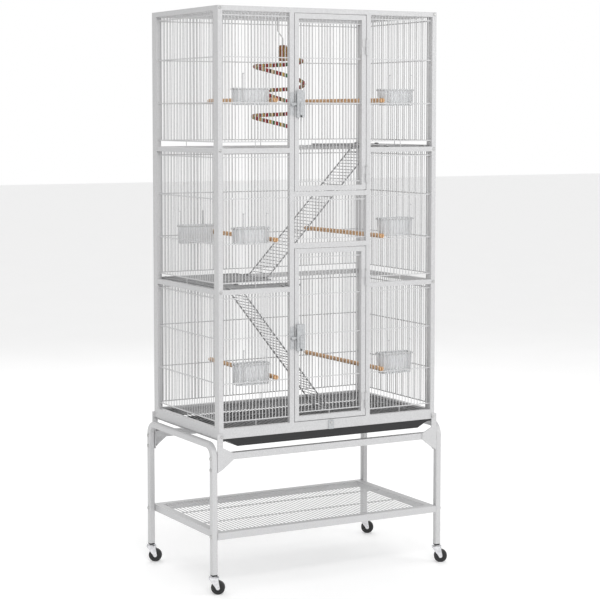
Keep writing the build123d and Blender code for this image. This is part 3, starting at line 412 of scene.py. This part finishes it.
bm = bmesh.new()
collar = [(0.0066, 0.0)]
for wrap in range(4):
    for share in (0.1, 0.5, 0.9):
        collar.append((0.0074 + 0.0011 * sin(pi * share), 0.0005 + 0.004 * (wrap + share)))
collar.append((0.0066, 0.0170))
turned(bm, (0, 0), collar, 24)
aim = EXIT_DIR.to_track_quat("Z", "Y").to_matrix().to_4x4()
bmesh.ops.transform(bm, matrix=Matrix.Translation(HEAD + EXIT_DIR * 0.010) @ aim, verts=bm.verts)
exit_wrap = mesh_piece("rope_exit_wrapping", bm, [tan_cord])

bm = bmesh.new()
cap = [(0.0055, END_Z - 0.013)]
for wrap in range(4):
    for share in (0.1, 0.5, 0.9):
        cap.append((0.0064 + 0.0011 * sin(pi * share), END_Z - 0.0128 + 0.0032 * (wrap + share)))
cap.append((0.0055, END_Z))
turned(bm, (rope_end.x, rope_end.y), cap, 24)
chance = Random(7)
strands = 46
GOLDEN_ANGLE = 2.399963
STRAND_SIDES = 5
TASSEL_TOP_R = 0.0058
for index in range(strands):
    turn = index * GOLDEN_ANGLE
    spread = TASSEL_TOP_R * (index / strands) ** 0.5
    foot = spread * chance.uniform(1.1, 1.5)
    top = Vector((rope_end.x + spread * cos(turn), rope_end.y + spread * sin(turn), END_Z - 0.011))
    low = Vector((rope_end.x + foot * cos(turn), rope_end.y + foot * sin(turn),
                  END_Z - 0.0268 + chance.uniform(0, 0.003)))
    middle = (top + low) / 2 + Vector((chance.uniform(-1, 1), chance.uniform(-1, 1), 0)) * 0.0007
    rings = []
    for place, radius in ((top, 0.00062), (middle, 0.0006), (low, 0.00035)):
        rings.append([bm.verts.new(place + Vector((cos(a), sin(a), 0)) * radius)
                      for a in (2 * pi * corner / STRAND_SIDES for corner in range(STRAND_SIDES))])
    for upper, lower in zip(rings, rings[1:]):
        for corner in range(STRAND_SIDES):
            after = (corner + 1) % STRAND_SIDES
            bm.faces.new((upper[corner], lower[corner], lower[after], upper[after]))
    bm.faces.new(rings[-1])
    bm.faces.new(list(reversed(rings[0])))
tassel = mesh_piece("tassel", bm, [tan_cord])
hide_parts("rope_end")

KNOT_ANGLE = 3 * pi
knot_at = spiral_point(KNOT_ANGLE)
bm = bmesh.new()
knot_profile = [(0.0066, -0.011)]
for wrap in range(5):
    for share in (0.1, 0.5, 0.9):
        knot_profile.append((0.0068 + 0.0012 * sin(pi * share), -0.0105 + 0.0042 * (wrap + share)))
knot_profile.append((0.0066, 0.011))
turned(bm, (0, 0), knot_profile, 24)
aim = spiral_direction(KNOT_ANGLE).to_track_quat("Z", "Y").to_matrix().to_4x4()
bmesh.ops.transform(bm, matrix=Matrix.Translation(knot_at) @ aim, verts=bm.verts)
knot = mesh_piece("rope_knot", bm, [tan_cord])
print("head, wrapping, knot and tassel made")

# %% [markdown]
# ## Small pieces on the hard parts
# The latches show a dark slot near their lower end. Its shadow is painted: a thin near-black piece on the
# outside of each housing stands for it, and it rides on the door that carries the housing.

# %% Latch slots, painted shade
SLOT_SIZE = (0.006, 0.0004, 0.009)
SLOT_DROP = 0.0355
LATCH_HEIGHTS = {"upper_door": 1.462667, "lower_door": 0.756667}
LATCH_X, LATCH_FRONT = -0.1085, -0.24302
for body, height in LATCH_HEIGHTS.items():
    bm = bmesh.new()
    box = bmesh.ops.create_cube(bm, size=1.0)
    bmesh.ops.scale(bm, vec=SLOT_SIZE, verts=box["verts"])
    bmesh.ops.translate(bm, vec=(LATCH_X, LATCH_FRONT, height - SLOT_DROP), verts=box["verts"])
    bmesh.ops.bevel(bm, geom=list(bm.edges), offset=0.0001, offset_type="OFFSET", segments=2, profile=0.5,
                    affect="EDGES", material=-1)
    # The piece is painted shade: a near-black sheet on the housing's face in place of the shadow in the slot.
    slot_shade_piece = mesh_piece(f"latch_slot_shade_{body}", bm, [painted_slot_shade], body)
print("latch slots made")

# %% [markdown]
# ## Floor, light and camera
# The floor and the background are white, lit by three soft lamps. The camera stands where the photograph was
# taken: to the left of the door side and a little above the middle of the cage.

# %% Stage
FLOOR_GLOW = 0.16
floor_mat = surface("Floor", (0.93, 0.93, 0.93), (0.95, 0.95, 0.95), (0.8, 0.9), scale=3.0, strength=0.0)
floor_mat.node_tree.nodes["Principled BSDF"].inputs["Emission Color"].default_value = (1, 1, 1, 1)
floor_mat.node_tree.nodes["Principled BSDF"].inputs["Emission Strength"].default_value = FLOOR_GLOW
bm = bmesh.new()
bmesh.ops.create_grid(bm, x_segments=1, y_segments=1, size=30.0)
floor_mesh = bpy.data.meshes.new("Floor")
bm.to_mesh(floor_mesh)
bm.free()
floor_mesh.materials.append(floor_mat)
floor = bpy.data.objects.new("floor", floor_mesh)
bpy.context.scene.collection.objects.link(floor)

world = bpy.data.worlds.new("White room")
bpy.context.scene.world = world
world.use_nodes = True
tree = world.node_tree.nodes
link = world.node_tree.links.new
background = tree["Background"]
seen = tree.new("ShaderNodeLightPath")
strength = tree.new("ShaderNodeMapRange")
strength.inputs["To Min"].default_value = 0.75
strength.inputs["To Max"].default_value = 1.0
link(seen.outputs["Is Camera Ray"], strength.inputs["Value"])
link(strength.outputs["Result"], background.inputs["Strength"])
background.inputs["Color"].default_value = (1, 1, 1, 1)

TARGET = Vector((0, 0, 0.95))
for name, place, power, size in (("Key", (-1.6, -4.2, 3.4), 95, 2.2), ("Fill", (3.2, -2.8, 2.4), 30, 2.6),
                                 ("Back", (0.8, 3.4, 3.4), 40, 2.4)):
    lamp = bpy.data.lights.new(name, "AREA")
    lamp.energy = power
    lamp.size = size
    lamp_object = bpy.data.objects.new(name, lamp)
    bpy.context.scene.collection.objects.link(lamp_object)
    lamp_object.location = place
    lamp_object.rotation_mode = "QUATERNION"
    lamp_object.rotation_quaternion = (TARGET - Vector(place)).to_track_quat("-Z", "Y")

AZIMUTH, PITCH = radians(29.074), radians(4.433)
camera = bpy.data.cameras.new("Camera")
camera.lens = 105.68
camera.sensor_width = 36.0
camera.shift_x = 0.001
camera.shift_y = -0.0788
camera.clip_start = 0.1
camera.clip_end = 200.0
camera_object = bpy.data.objects.new("Camera", camera)
bpy.context.scene.collection.objects.link(camera_object)
camera_object.location = (-2.6897, -4.8736, 1.4260)
forward = Vector((sin(AZIMUTH) * cos(PITCH), cos(AZIMUTH) * cos(PITCH), -sin(PITCH)))
camera_object.rotation_mode = "QUATERNION"
camera_object.rotation_quaternion = forward.to_track_quat("-Z", "Y")
bpy.context.scene.camera = camera_object
bpy.context.scene.view_settings.view_transform = "Standard"
print("stage, lamps and camera made")
